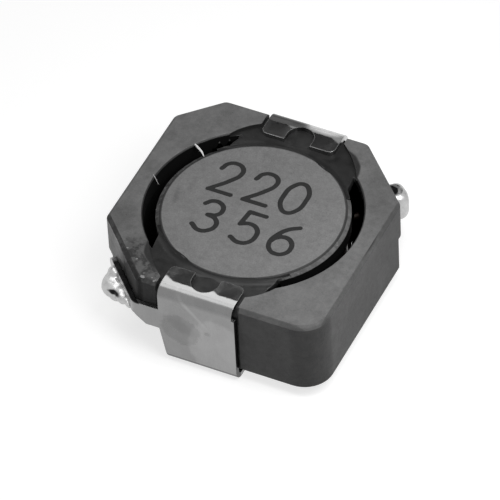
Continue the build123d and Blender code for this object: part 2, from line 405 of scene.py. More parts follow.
@dataclass(frozen=True)
class RingFinish(FerriteFinish):
    """Ferrite of the ring: with adhesive film on the seats, soiled at the wired corner, with painted shade
    in the bore, on the bevels, on the front-right round corner, beside the plates and towards two corners
    of the top, and a painted sheen on the wired corner's cut.
    """

    wet_and_bore_shade_tone: float = 0.018
    wet_roughness: float = 0.42
    soot_and_shade_tone: float = 0.016
    flux_spread: Oval = Oval((-2.75, -4.00), (1.30, 1.00), -pi / 4, 0.45)
    # Painted shade: soft patches that darken the top towards its left and right corners.
    left_painted_shade: Oval = Oval((-4.55, -2.3), (0.45, 0.85), 0.0, 0.6)
    right_painted_shade: Oval = Oval((4.4, 2.9), (1.0, 1.9), 0.3, 0.7)
    glue_spread: Oval = Oval((1.75, 3.10), (1.20, 1.24), 0.0, 0.04)
    soot_spot: Oval = Oval((-0.31, 2.85), (0.26, 0.14), 0.8, 0.35)

    @property
    def top(self) -> float:
        """Height of the ring's top in millimetres."""
        return PLAN.ring_top / MM

    def blots(self, surface: Surface) -> Field:
        """Dark blots that the flux has left."""
        return surface.noise(0.32, 3.0, 0.6, surface.moved((2, 3, 5))).step(0.36, 0.64)

    def residue(self, surface: Surface) -> Field:
        """Mask of the flux on the top, beside the wired corner.

        Args:
            surface: The material it is for.

        Returns:
            The mask.
        """
        ragged = (surface.noise(0.5, 3.0) - 0.5) * 0.9
        spread = surface.mark(surface.x, surface.y, self.flux_spread, ragged)
        return spread * surface.z.step(self.top - 0.19, self.top - 0.17)

    def soiled(self, surface: Surface, tone: Field, residue: Field) -> Field:
        """Lay the flux on the ferrite, with painted glints on it.

        Args:
            surface: The material it is for.
            tone: Grey of the ferrite.
            residue: Mask of the flux.

        Returns:
            The grey with the flux.
        """
        # Painted glints: sparse pale spots added on the flux.
        drops_and_glints = surface.grains(0.26, surface.moved((1, 4, 2))).step(0.0, 0.26, 1.0, 0.0)
        drops_and_glints = drops_and_glints * surface.noise(0.5, 1.0, place=surface.moved((7, 3, 6))).step(0.48, 0.66)
        soil = self.blots(surface).step(0.0, 1.0, 0.66, 0.18) * tone + drops_and_glints * 0.11
        return surface.blend(residue, tone, soil)

    def painted_sheen(self, surface: Surface) -> Field:
        """Mask of the painted sheen: the left half of the wired corner's cut, painted paler as if lit."""
        cut = PLAN.cut_distance / MM
        return surface.outward.step(cut - 0.02, cut - 0.01) * surface.along.step(-0.35, 0.25)

    def shaded(self, surface: Surface, tone: Field) -> Field:
        """Paint shade on the bevels, on the front-right round corner and on the top towards its left and
        right corners.

        Args:
            surface: The material it is for.
            tone: Grey of the ferrite.

        Returns:
            The grey with these shades.
        """
        top, out = self.top, surface.outward
        # Painted shade: the outer top bevel is painted 30 % darker.
        wear_and_shade = abs(surface.x).larger(abs(surface.y)).step(4.88, 4.91)
        wear_and_shade = wear_and_shade * surface.z.step(top - 0.19, top - 0.15)
        tone = tone * (wear_and_shade * surface.z.step(top - 0.03, top - 0.01, 1.0, 0.0) * -0.30 + 1.0)
        # Painted shade: the top is darkened towards its left and right corners.
        painted_shade = surface.mark(surface.x, surface.y, self.left_painted_shade)
        painted_shade = painted_shade.larger(surface.mark(surface.x, surface.y, self.right_painted_shade))
        tone = tone * (painted_shade * -0.24 + 1.0)
        cut = PLAN.cut_distance / MM
        start = cut - PLAN.top_bevel / MM
        # The cut's bevel is painted darker as shade, and darker still under the flux blots.
        bevel = out.step(start - 0.03, start) * out.step(cut - 0.03, cut - 0.01, 1.0, 0.0)
        tone = tone * (bevel * self.blots(surface).step(0.0, 1.0, -0.52, -0.78) + 1.0)
        # Painted shade: the front-right round corner's face is painted a third darker below its bevel.
        round_corner_shade = (surface.x - surface.y).step(8.75, 9.15)
        round_corner_shade = round_corner_shade * surface.z.step(top - 0.12, top - 0.04, 1.0, 0.0)
        return tone * (round_corner_shade * -0.33 + 1.0)

    def wetted(self, surface: Surface) -> Field:
        """Mask of the adhesive's film on the seats, on their walls and round the beads' ends, and of
        painted shade at the top of the bore's wall.

        Args:
            surface: The material it is for.

        Returns:
            The mask.
        """
        across, back = abs(surface.x), abs(surface.y)
        seat = abs(surface.z - PLAN.slot_floor / MM).step(0.015, 0.04, 1.0, 0.0)
        seat = seat * back.step(4.94, 5.0, 1.0, 0.0) * across.step(3.2, 3.3, 1.0, 0.0)
        wall = across.step(1.73, 1.78, 1.0, 0.0) * back.step(3.2, 3.4)
        # Inside a radius of 4.9 mm this takes in the bore's wall all round, which is painted shade.
        wall = wall.larger(surface.radius.step(4.90, 5.00, 1.0, 0.0)) * surface.z.step(2.9, 3.0)
        film = seat.larger(wall * surface.z.step(self.top - 0.03, self.top - 0.01, 1.0, 0.0))
        for sign in (1, -1):
            uneven = (surface.noise(0.6, 1.0) - 0.5) * 0.14
            spread = surface.mark(surface.x * sign, surface.y * sign, self.glue_spread, uneven)
            film = film.larger(spread * surface.z.step(3.3, 3.4))
        return film

    def soot_and_shade(self, surface: Surface) -> Field:
        """Mask of the dark marks: below a slanted line on the cut behind the arm, a soot spot, flux beside
        the front plate, and painted shadow in the seams beside the plates.

        Args:
            surface: The material it is for.

        Returns:
            The mask.
        """
        along, out = surface.along, surface.outward
        ragged = (surface.noise(0.33, 3.0, 0.6, surface.moved((8, 1, 4))) - 0.5) * 1.1
        behind = (along + surface.z * 1.05 + ragged).step(3.00, 3.20, 1.0, 0.0)
        behind = behind * out.step(5.17, 5.22) * 0.78
        spot = surface.mark(along, surface.z, self.soot_spot, ragged * 0.3)
        flank = surface.x.step(-1.62, -1.56, 1.0, 0.0) * surface.x.step(-2.62, -2.5)
        flank = flank * surface.y.step(-5.045, -5.02, 1.0, 0.0)
        half = PLAN.plate_half / MM
        # Painted shadow: a dark band on the ring's face beside each plate.
        seam_shadow = abs(surface.x).step(half + 0.03, half + 0.09, 1.0, 0.0)
        seam_shadow = seam_shadow * abs(surface.y).step(5.02, 5.04) * surface.z.step(0.5, 0.7)
        return behind.larger(spot * out.step(5.28, 5.32)).larger(flank * 0.55).larger(seam_shadow)

    def deep(self, surface: Surface) -> Field:
        """Mask of the bore's wall, which no light reaches.

        Args:
            surface: The material it is for.

        Returns:
            The mask.
        """
        bore = PLAN.bore_radius / MM
        inside = surface.radius.step(bore + 0.005, bore + 0.02, 1.0, 0.0)
        return inside * surface.z.step(self.top - 0.14, self.top - 0.03, 1.0, 0.0)

    def material(self) -> bpy.types.Material:
        """Build the ring's skin.

        Returns:
            The material.
        """
        surface = Surface(self.name)
        residue, painted_sheen = self.residue(surface), self.painted_sheen(surface)
        wet_and_bore_shade, soot_and_shade, deep = self.wetted(surface), self.soot_and_shade(surface), self.deep(surface)
        tone = self.soiled(surface, self.ground(surface), residue)
        # Painted sheen: the left half of the cut is painted about three times as pale, a little less on
        # the flux blots.
        tone = tone * (painted_sheen * self.blots(surface).step(0.0, 1.0, 2.4, 1.5) + 1.0)
        tone = self.shaded(surface, tone)
        streaks = surface.noise(0.35, 2.0, place=surface.moved((0, 0, 0), (1, 0.4, 1)))
        # The adhesive's film, which also paints shade on the top of the bore's wall.
        tone = surface.blend(wet_and_bore_shade, tone, (streaks - 0.5) * 0.02 + self.wet_and_bore_shade_tone)
        # One mottled dark grey for the soot and flux, and for the painted shadow in the seams.
        soot_and_shade_grey = surface.noise(0.2, 2.0).step(0.5, 0.72) * 0.035 + self.soot_and_shade_tone
        tone = surface.blend(soot_and_shade, tone, soot_and_shade_grey)
        tone = surface.blend(deep, tone, (self.shade_tone,) * 3)
        self.texture(surface)
        dull, glossy = deep.larger(soot_and_shade * 0.75), wet_and_bore_shade.larger(residue * 0.5)
        gloss = dull.step(0.0, 1.0, self.gloss, self.shade_gloss) + painted_sheen * 0.35
        surface.vary(base_color=tone, specular_ior_level=gloss,
                     roughness=glossy.step(0.0, 1.0, self.roughness, self.wet_roughness))
        return surface.material


@dataclass(frozen=True)
class DrumFinish(FerriteFinish):
    """Ferrite of the drum: paler disc, flank painted dark as shade, a few faint smudges."""

    smudges: tuple[tuple[Oval, float], ...] = (
        (Oval((-3.1, -0.35), (0.10, 0.42), 0.25, 0.6), 1.0),
        (Oval((-2.75, 0.35), (0.12, 0.34), 0.1, 0.7), 0.7),
        (Oval((2.0, 0.1), (0.09, 0.07), 0.0, 0.6), 0.9),
    )
    line_inset: float = 0.19
    rim_inset: float = 0.20

    def rimmed(self, surface: Surface, warp: Field) -> Field:
        """Factor on the tone at the rim: a dark line, and a bevel with pale grains of wear and smears,
        painted darker towards the left as shade.

        Args:
            surface: The material it is for.
            warp: Unevenness of the smears.

        Returns:
            The factor.
        """
        reach = PLAN.drum_radius / MM
        start = reach - self.rim_inset
        line = abs(surface.radius - (reach - self.line_inset)).step(0.03, 0.065, 1.0, 0.0)
        # Painted shade: every mark on the rim's bevel is twice as strong on the left as on the right.
        rim = surface.radius.step(start, start + 0.03) * surface.x.step(-2.5, 2.5, 1.6, 0.8)
        # Pale grains of wear on the rim's bevel.
        wear_and_shade = surface.grains(0.12).step(0.14, 0.30, 1.0, 0.0)
        wear_and_shade = wear_and_shade * surface.noise(0.5, 1.0, place=surface.moved((6, 1, 3))).step(0.45, 0.6)
        smeared = (abs(surface.y) + warp * 1.6).step(1.0, 3.0, 0.12, 0.66)
        blots = surface.noise(0.22, 2.0, 0.6, surface.moved((3, 6, 1))).step(0.46, 0.64)
        factor = (line * -0.80 + 1.0) * (rim * -0.30 + 1.0) * (rim * wear_and_shade * 0.9 + 1.0)
        return factor * (rim * smeared * -1.0 + 1.0) * (rim * blots * -0.35 + 1.0)

    def material(self) -> bpy.types.Material:
        """Build the drum's skin.

        Returns:
            The material.
        """
        surface = Surface(self.name)
        warp = (surface.noise(0.5, 3.0) - 0.5) * 0.9
        tone = self.ground(surface)
        smudged = reduce(Field.larger, (surface.mark(surface.x, surface.y, oval, warp) * strength
                                        for oval, strength in self.smudges))
        tone = tone * (smudged * -0.24 + 1.0)
        tone = tone * self.rimmed(surface, warp)
        top = PLAN.drum_top / MM
        # Painted shade: below the disc's edge the drum's flank takes the shade grey.
        flank = surface.z.step(top - 0.16, top - 0.11, 1.0, 0.0)
        tone = surface.blend(flank, tone, (self.shade_tone,) * 3)
        self.texture(surface)
        surface.settle(roughness=self.roughness)
        surface.vary(base_color=tone,
                     specular_ior_level=flank.step(0.0, 1.0, self.gloss, self.shade_gloss))
        return surface.material


@dataclass(frozen=True)
class TinFinish:
    """Satin tin plating on a terminal, smudged by handling and flux.

    The pattern is designed on the front terminal and turned for the back one.
    """

    name: str
    side: Side
    tone: float = 0.238
    roughness: float = 0.24
    smoothest: float = 0.12
    streak: Oval = Oval((-0.18, 3.10), (0.70, 0.08), -0.80, 0.75)
    blotch: Oval = Oval((-0.66, 1.90), (0.80, 0.74), -0.25, 0.10)
    core: Oval = Oval((-0.60, 2.10), (0.46, 0.30), -0.5, 0.45)
    halo: Oval = Oval((1.05, 1.30), (1.35, 1.62), 0.0, 0.07)
    spot: Oval = Oval((0.49, 2.15), (0.11, 0.09), 0.0, 0.5)
    cloud: Oval = Oval((-0.60, 3.05), (0.55, 0.42), 0.6, 0.4)
    solder_spread: Oval = Oval((0.15, 2.05), (0.95, 0.62), 0.0, 0.5)
    # Painted highlight along the upper bend with its gain, and the depth of the painted shade beside it.
    painted_bend_highlight: Oval = Oval((0.0, -5.12), (1.7, 0.34), 0.0, 0.35)
    painted_highlight_gain: float = 0.0
    painted_shade_depth: float = 0.0
    edge: float = 0.035 * MM
    sag: float = 0.20 * MM
    sag_start: float = -4.90

    def soldered(self, surface: Surface, warp: Field) -> Field:
        """Mask of the solder that has wetted the arm."""
        spread = surface.mark(surface.along, surface.z, self.solder_spread, warp)
        return spread * surface.outward.step(5.35, 5.45)

    def bent(self, surface: Surface, warp: Field) -> Field:
        """Factor on the tone along the upper bend: a little darker all along, with a painted highlight
        and, beside it, painted shade.

        Args:
            surface: The material it is for.
            warp: Unevenness of the marks.

        Returns:
            The factor.
        """
        bend = surface.z.step(3.3, 3.5)
        slope = bend * surface.z.step(3.785, 3.795, 1.0, 0.0)
        # Painted highlight: the bend is painted paler inside this oval.
        painted_bend_highlight = bend * surface.mark(surface.x, surface.y, self.painted_bend_highlight, warp * 0.3)
        # Painted shade: one half of the bend, beside the highlight, is painted darker.
        painted_bend_shade = bend * surface.x.step(-0.2, 0.15) * surface.y.step(-4.70, -4.62, 1.0, 0.0)
        factor = (slope * -0.10 + 1.0) * (painted_bend_highlight * self.painted_highlight_gain + 1.0)
        return factor * (painted_bend_shade * -self.painted_shade_depth + 1.0)

    def edged(self, surface: Surface, tone: Field) -> Field:
        """Darken the lower fold with painted shade, and darken the upper edge of the arm and the plate's
        cut edge.

        Args:
            surface: The material it is for.
            tone: Grey of the plating.

        Returns:
            The grey with these edges.
        """
        plate = surface.y.step(-4.95, -4.9, 1.0, 0.0)
        # Painted shade: below 0.3 mm the plate's lower fold is painted 80 % darker.
        tone = tone * (surface.z.step(0.30, 0.40, -0.80, 0.0) * plate + 1.0)
        out = surface.outward
        # The arm's upper edge is painted dark.
        darkened_arm_edge = surface.z.step(2.60, 2.64) * out.step(5.36, 5.40) * out.step(5.60, 5.64, 1.0, 0.0)
        darkened_arm_edge = darkened_arm_edge * surface.x.step(-1.7, -1.6, 1.0, 0.0)
        darkened_arm_edge = darkened_arm_edge * surface.along.step(0.35, 0.55, 1.0, 0.0)
        tone = surface.blend(darkened_arm_edge, tone, surface.noise(0.3, 2.0) * 0.06 + 0.005)
        half = PLAN.plate_half / MM
        return surface.blend(surface.x.step(half - 0.012, half - 0.004) * plate, tone, (0.03,) * 3)

    def shape(self, surface: Surface, warp: Field) -> None:
        """Ease the edges, and let the sheet wave a little and the tab sag behind its bend.

        Args:
            surface: The material it is for.
            warp: Unevenness of the sag.
        """
        surface.soften_edges(self.edge)
        surface.relief(surface.noise(0.22, 3.0, 0.6), 0.006 * MM, 0.5)
        surface.relief(surface.noise(1.4, 2.0, 0.5), 0.05 * MM, 0.30)
        left = surface.x.step(-1.54, -1.10, 0.48, 0.27)
        right = abs(surface.x - 0.42).step(0.0, 0.38, 0.16, 0.0)
        width = left + right + warp * 0.12
        fall = ((surface.y - self.sag_start) / width).step(0.0, 1.0) * width
        surface.relief(fall * surface.z.step(3.5, 3.6), self.sag)

    def material(self) -> bpy.types.Material:
        """Build the plating.

        Returns:
            The material.
        """
        surface = Surface(self.name, 0.0 if self.side is Side.FRONT else pi)
        warp = (surface.noise(0.5, 3.0, 0.6) - 0.5) * 0.7
        face = surface.y.step(-4.9, -4.8, 1.0, 0.0)

        def on_plate(oval: Oval, share: float = 1.0) -> Field:
            """Mask of a mark on the side plate, warped by a share of the unevenness."""
            return surface.mark(surface.x, surface.z, oval, warp * share)

        streak = on_plate(self.streak, 0.2)
        light = streak * 0.22 + on_plate(self.halo, 0.6) * 0.17
        shade = on_plate(self.blotch) * 0.17 + on_plate(self.core, 1.6) * 0.10
        shade = shade + on_plate(self.spot) * 0.20 + on_plate(self.cloud) * 0.05
        clouds = surface.noise(0.9, 4.0, 0.6).step(0.36, 0.64, -1.0, 1.0)
        rolled = surface.noise(0.12, 3.0, 0.6, surface.moved((0, 0, 0), (1.0, 1.0, 0.12))) - 0.5
        fine = surface.noise(0.05, 2.0) - 0.5
        soldered = self.soldered(surface, warp)
        tone = (clouds * 0.04 + rolled * 0.10 + fine * 0.10 + 1.0) * self.tone
        tone = tone * ((light - shade) * face + 1.0)
        tone = surface.blend(soldered, tone, fine * 0.3 + 0.5)
        tone = self.edged(surface, tone * self.bent(surface, warp))
        self.shape(surface, warp)
        rough = (shade * 0.3 - streak * 0.1) * face + clouds * 0.02 + self.roughness
        surface.settle(metallic=1.0)
        surface.vary(base_color=tone, roughness=rough.larger(self.smoothest) + soldered * 0.1)
        return surface.material


@dataclass(frozen=True)
class EnamelFinish:
    """Enamelled copper wire, bare and tinned towards its soldered ends, and dark where it faces the ring
    gap, both steeped in resin and painted shade.
    """

    name: str = "enamelled_wire"
    colour: tuple[float, float, float] = (0.42, 0.17, 0.055)
    resin_and_shade_colour: tuple[float, float, float] = (0.02, 0.012, 0.008)
    bare_colour: tuple[float, float, float] = (0.58, 0.57, 0.55)
    bare_from: float = 4.9

    def material(self) -> bpy.types.Material:
        """Build the wire's skin.

        Returns:
            The material.
        """
        surface = Surface(self.name)
        clouds = surface.noise(0.5, 3.0) - 0.5
        bands = surface.noise(0.06, 2.0, 0.5, surface.moved((0, 0, 0), (0.15, 0.15, 1.0))) - 0.5
        shade = (clouds * 0.5 + bands * 0.5).step(-0.3, 0.3)
        dark = tuple(part * 0.55 for part in self.colour)
        copper = surface.blend(shade, dark, self.colour)
        bare = surface.radius.step(self.bare_from, self.bare_from + 0.25)
        # Steeped in resin and painted shade: a band round the winding, which the ring gap shows, turns
        # dark brown.
        soaked_and_shaded = surface.radius.step(3.3, 3.5) * surface.radius.step(4.2, 4.6, 1.0, 0.0)
        copper = surface.blend(soaked_and_shaded, copper, self.resin_and_shade_colour)
        surface.relief(surface.noise(0.12, 2.0), 0.01 * MM, 0.4)
        surface.settle(specular=0.6, coat=0.6, coat_roughness=0.15)
        surface.vary(base_color=surface.blend(bare, copper, self.bare_colour),
                     metallic=bare.step(0.0, 1.0, 0.55, 1.0),
                     roughness=clouds.step(-0.5, 0.5, 0.25, 0.42))
        return surface.material


@dataclass(frozen=True)
class SolderFinish:
    """Bright solder with a slightly grained, dimpled skin and one painted dark area: shade in the front
    joint's fold, a dark reflection on the back joint's flat top.
    """

    name: str
    side: Side
    tone: float = 0.46
    shade_and_reflection_tone: float = 0.012
    # Painted shade in the front joint's fold, and a painted dark reflection on the back joint's flat top.
    fold: Oval = Oval((-0.66, 2.10), (0.30, 0.09), -0.2, 0.3)
    cap: Oval = Oval((0.02, 5.66), (0.25, 0.22), 0.0, 0.1)
    cap_height: float = 2.50

    def painted_shade_and_reflection(self, surface: Surface, warp: Field) -> Field:
        """Mask of the painted dark area: at the front, shade in the fold where the wire goes in; else a
        dark reflection on the flat top.

        Args:
            surface: The material it is for.
            warp: Unevenness of the patch.

        Returns:
            The mask.
        """
        if self.side is Side.FRONT:
            return surface.mark(surface.along, surface.z, self.fold, warp * 0.8)
        cap = surface.mark(surface.along, surface.outward * -1.0, self.cap, warp * 0.4)
        return cap * surface.z.step(self.cap_height, self.cap_height + 0.06)

    def material(self) -> bpy.types.Material:
        """Build the solder's skin.

        Returns:
            The material.
        """
        surface = Surface(self.name)
        clouds = surface.noise(0.3, 3.0) - 0.5
        fine = surface.noise(0.04, 2.0) - 0.5
        residue = surface.noise(0.22, 2.0, place=surface.moved((4, 1, 8))).step(0.66, 0.74)
        tone = (clouds * 0.70 + fine * 0.25 + 1.0) * self.tone
        tone = surface.blend(residue * 0.5, tone, (0.08,) * 3)
        # Painted shade and painted dark reflection, in the dark area's tone.
        tone = surface.blend(self.painted_shade_and_reflection(surface, clouds), tone, (self.shade_and_reflection_tone,) * 3)
        surface.relief(surface.noise(0.16, 3.0, 0.6), 0.03 * MM, 0.7)
        surface.settle(metallic=1.0)
        surface.vary(base_color=tone, roughness=clouds.step(-0.4, 0.4, 0.20, 0.45))
        return surface.material


@dataclass(frozen=True)
class ResinFinish:
    """Glossy dark resin, for the adhesive and the flux. Deep in the gap its colour is painted black, as
    shade.
    """

    name: str
    tone: float = 0.014
    dust: float = 0.06
    roughness: float = 0.30
    patchiness: float = 0.3
    gloss: float = 0.32
    coat: float = 0.12

    def material(self) -> bpy.types.Material:
        """Build the resin's skin.

        Returns:
            The material.
        """
        surface = Surface(self.name)
        clouds = surface.noise(0.45, 3.0) - 0.5
        specks = surface.grains(0.13).step(0.10, 0.24, 1.0, 0.0)
        specks = specks * surface.noise(0.3, 1.0, place=surface.moved((2, 5, 1))).step(0.58, 0.70)
        tone = (clouds * (2 * self.patchiness) + 1.0) * self.tone
        tone = surface.blend(specks * self.dust, tone, (0.45,) * 3)
        surface.relief(surface.noise(0.10, 3.0, 0.6), 0.006 * MM, 0.3)
        # Painted shade: below 3.34 mm the resin's colour goes to black.
        shown = surface.z.step(3.34, 3.52)
        shine = shown * surface.radius.step(3.66, 3.80, 0.35, 1.0)
        shine = shine * (surface.x * surface.y).step(3.0, 6.0, 1.0, 0.64)
        surface.settle(coat_roughness=0.15)
        surface.vary(base_color=tone * shown, specular_ior_level=shine * self.gloss,
                     coat_weight=shine * self.coat,
                     roughness=clouds.step(-0.4, 0.4, self.roughness, self.roughness + 0.25))
        return surface.material


@dataclass(frozen=True)
class InkFinish:
    """Matt dark stamping ink, a little thinner in places."""

    name: str = "stamping_ink"
    tone: float = 0.020

    def material(self) -> bpy.types.Material:
        """Build the ink's skin.

        Returns:
            The material.
        """
        surface = Surface(self.name)
        clouds = surface.noise(0.28, 4.0, 0.6) - 0.5
        fine = surface.noise(0.05, 2.0) - 0.5
        surface.settle(roughness=0.75, specular=0.16)
        surface.relief(surface.noise(0.07, 2.0), 0.006 * MM, 0.5)
        surface.vary(base_color=(clouds * 0.5 + fine * 0.3 + 1.0) * self.tone)
        return surface.material


@dataclass(frozen=True)
class StrandFinish:
    """Pale, half-clear thread of cured glue."""

    name: str = "glue_strand"

    def material(self) -> bpy.types.Material:
        """Build the strand's skin.

        Returns:
            The material.
        """
        surface = Surface(self.name)
        clouds = surface.noise(0.15, 2.0) - 0.5
        surface.settle(specular=0.6, coat=0.4, coat_roughness=0.2)
        surface.relief(surface.noise(0.05, 2.0), 0.004 * MM, 0.4)
        surface.vary(base_color=clouds.step(-0.5, 0.5, 0.55, 0.85),
                     roughness=clouds.step(-0.5, 0.5, 0.3, 0.5))
        return surface.material


def paint(thing: bpy.types.Object, material: bpy.types.Material) -> None:
    """Give an object one material.

    Args:
        thing: The object.
        material: Its only material from now on.
    """
    thing.data.materials.clear()
    thing.data.materials.append(material)


def dress_node(node: str, material: bpy.types.Material) -> None:
    """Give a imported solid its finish.

    Args:
        node: Name of the solid.
        material: Its finish.
    """
    paint(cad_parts[node], material)
    LOG.info("%s: finish %s", node, material.name)


def add_piece(name: str, mesh: bpy.types.Mesh, material: bpy.types.Material) -> bpy.types.Object:
    """Put a finished mesh into the scene as a piece that rides on the part.

    Args:
        name: Name of the piece.
        mesh: Its mesh, already in its place.
        material: Its finish.

    Returns:
        The piece.
    """
    mesh.name = name
    mesh.shade_smooth()
    piece = bpy.data.objects.new(name, mesh)
    bpy.context.scene.collection.objects.link(piece)
    paint(piece, material)
    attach(piece, "root")
    LOG.info("%s: %d faces, finish %s", name, len(mesh.polygons), material.name)
    return piece


def to_mesh(bm: bmesh.types.BMesh) -> bpy.types.Mesh:
    """Merge doubles, point the faces outward and make a mesh of it.

    Args:
        bm: The edited mesh, which is freed.

    Returns:
        The mesh.
    """
    bmesh.ops.remove_doubles(bm, verts=bm.verts, dist=1e-4 * MM)
    bmesh.ops.recalc_face_normals(bm, faces=bm.faces)
    mesh = bpy.data.meshes.new("piece")
    bm.to_mesh(mesh)
    bm.free()
    return mesh


def ease(value: float, low: float, high: float) -> float:
    """Smooth rise from zero at low to one at high."""
    share = min(1.0, max(0.0, (value - low) / (high - low)))
    return share * share * (3 - 2 * share)


def ripple(point: Vector, size: float, seed: float) -> float:
    """Soft random number between about -1 and 1.

    Args:
        point: Place, in metres.
        size: Size of the features, in metres.
        seed: Picks one of many patterns.

    Returns:
        The number.
    """
    return noise.noise(point / size + Vector((seed, 2.3 * seed, -1.7 * seed)))


def skin_of(place: Callable[[float, float], Vector], columns: int, rows: int,
            sink: Vector) -> bmesh.types.BMesh:
    """Closed film: a grid laid in place, with an underside of the same shape.

    Args:
        place: Gives the point of the upper skin for two numbers from zero to one.
        columns: Cells along the first number.
        rows: Cells along the second.
        sink: Step from the skin to the underside.

    Returns:
        The film.
    """
    bm = bmesh.new()
    bmesh.ops.create_grid(bm, x_segments=columns, y_segments=rows, size=0.5)
    for vert in bm.verts:
        vert.co = place(vert.co.x + 0.5, vert.co.y + 0.5)
    rim = [edge for edge in bm.edges if edge.is_boundary]
    under = bmesh.ops.duplicate(bm, geom=bm.faces[:])["geom"]
    wall = bmesh.ops.extrude_edge_only(bm, edges=rim)["geom"]
    lower = [item for item in (*under, *wall) if isinstance(item, bmesh.types.BMVert)]
    bmesh.ops.translate(bm, verts=lower, vec=sink)
    return bm


@dataclass(frozen=True)
class Adhesive:
    """Bead of cured adhesive in the ring gap, spread over the seat and standing in the notch."""

    side: Side
    finish: ResinFinish
    broad: float = 39.5
    narrow: float = 31.0
    taper: float = 8.5
    inner: float = 3.38 * MM
    outer: float = 5.02 * MM
    sag: float = 0.018 * MM
    film: float = 0.012 * MM
    streak: float = 0.003 * MM
    notch_centre: float = 4.23 * MM
    dome_radius: float = 0.54 * MM
    dome_height: float = 0.05 * MM
    fall: float = 1.80 * MM
    overlap: float = 0.13 * MM
    overlap_past: float = 14.0
    columns: int = 260
    rows: int = 64

    def cover(self, angle: float, spot: Vector) -> float:
        """How far the bead reaches in over the disc.

        Args:
            angle: Direction in degrees from the terminal's, positive to the broad side.
            spot: The place, which picks the unevenness.

        Returns:
            The width of the covered edge.
        """
        broad = 0.17 * MM * exp(-((angle - 24) / 10) ** 2)
        narrow = 0.09 * MM * exp(-((angle + 22) / 8) ** 2)
        limit = (self.broad if angle > 0 else self.narrow) + self.overlap_past
        width = self.overlap + broad + narrow + 0.02 * MM * ripple(spot, 0.8 * MM, 9)
        return width * (1.0 - ease(abs(angle), limit - 8, limit))

    def level(self, radius: float, angle: float) -> float:
        """Height of the bead's skin.

        Args:
            radius: Distance from the part's axis.
            angle: Direction in degrees from the terminal's, positive to the broad side.

        Returns:
            The height.
        """
        across = radius * sin(radians(angle))
        out = radius * cos(radians(angle))
        spot = Vector((across, out, 0))
        gap_share = (PLAN.bore_radius - radius) / (PLAN.bore_radius - PLAN.drum_radius)
        reach = self.broad if angle > 0 else self.narrow
        reach += self.taper * min(1.1, max(0.0, gap_share)) + 0.8 * ripple(spot, 0.5 * MM, 3)
        beyond = abs(angle) - reach
        lines = sin(radius / MM * 30 + 2.2 * ripple(spot, 1.1 * MM, 7) + angle * 0.02)
        lines *= 0.5 + 0.5 * ripple(spot, 0.7 * MM, 5)
        waves = ripple(spot, 0.35 * MM, 1)
        start = PLAN.drum_radius - self.cover(angle, spot)
        if radius < PLAN.bore_radius:
            share = max(0.0, (radius - start) / (PLAN.bore_radius - start))
            height = PLAN.drum_top + (PLAN.slot_floor - PLAN.drum_top) * share
            height += self.film - self.sag * sin(pi * share) + self.streak * (lines + 0.9 * waves)
            height -= 0.04 * MM * (1 - ease((radius - start) / MM, -0.03, 0.02))
            if radius > PLAN.drum_radius:
                height -= self.fall * ease(beyond, 0.0, 3.5)
        else:
            fold = max(0.0, out - PLAN.fold_start)
            height = PLAN.slot_floor - fold + self.film * (1.0 + 0.5 * waves)
            height -= 0.03 * MM * ease(beyond, 2.0, 5.0)
        from_notch = hypot(across, out - self.notch_centre)
        if from_notch < self.dome_radius:
            dome = self.dome_height * (1 - (from_notch / self.dome_radius) ** 8)
            dome *= 0.9 + 0.25 * ripple(spot, 0.5 * MM, 4)
            height = max(height, PLAN.slot_floor + dome)
        return height

    def build(self) -> bpy.types.Object:
        """Model the bead and put it in the place of its solid.

        Returns:
            The bead.
        """
        low, high = -self.narrow - self.taper - 8, self.broad + self.taper + 8

        def place(first: float, second: float) -> Vector:
            """Point of the bead's skin.

            Args:
                first: Share of the sector, from the narrow side.
                second: Share of the width, from inside.

            Returns:
                The point.
            """
            angle = low + (high - low) * first
            radius = self.inner + (self.outer - self.inner) * second
            turned = radians(90 - angle) + self.side.turn
            height = self.level(radius, angle)
            return Vector((radius * cos(turned), radius * sin(turned), height))

        bm = skin_of(place, self.columns, self.rows, Vector((0, 0, -0.05 * MM)))
        piece = add_piece(f"{self.side.value}_adhesive_bead", to_mesh(bm),
                          self.finish.material())
        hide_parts(f"{self.side.value}_adhesive")
        return piece


@dataclass(frozen=True)
class Lump:
    """Rounded lump of solder, placed along the arm, outward from the part and in height."""

    along: float
    outward: float
    height: float
    reach: tuple[float, float, float]
    squareness: float = 2.0

    def add(self, bm: bmesh.types.BMesh, level: Vector, out: Vector) -> None:
        """Add the lump, in millimetres.

        Args:
            bm: Mesh that takes it.
            level: Direction along the arm.
            out: Direction outward.
        """
        centre = level * self.along + out * self.outward + UP * self.height
        made = bmesh.ops.create_icosphere(bm, subdivisions=4, radius=1.0)["verts"]
        for vert in made:
            ball = vert.co.copy()
            power = self.squareness
            size = sum(abs(part) ** power for part in ball) ** (1 / power)
            ball /= size
            vert.co = (centre + level * ball.x * self.reach[0] + out * ball.y * self.reach[1]
                       + UP * ball.z * self.reach[2]) * MM


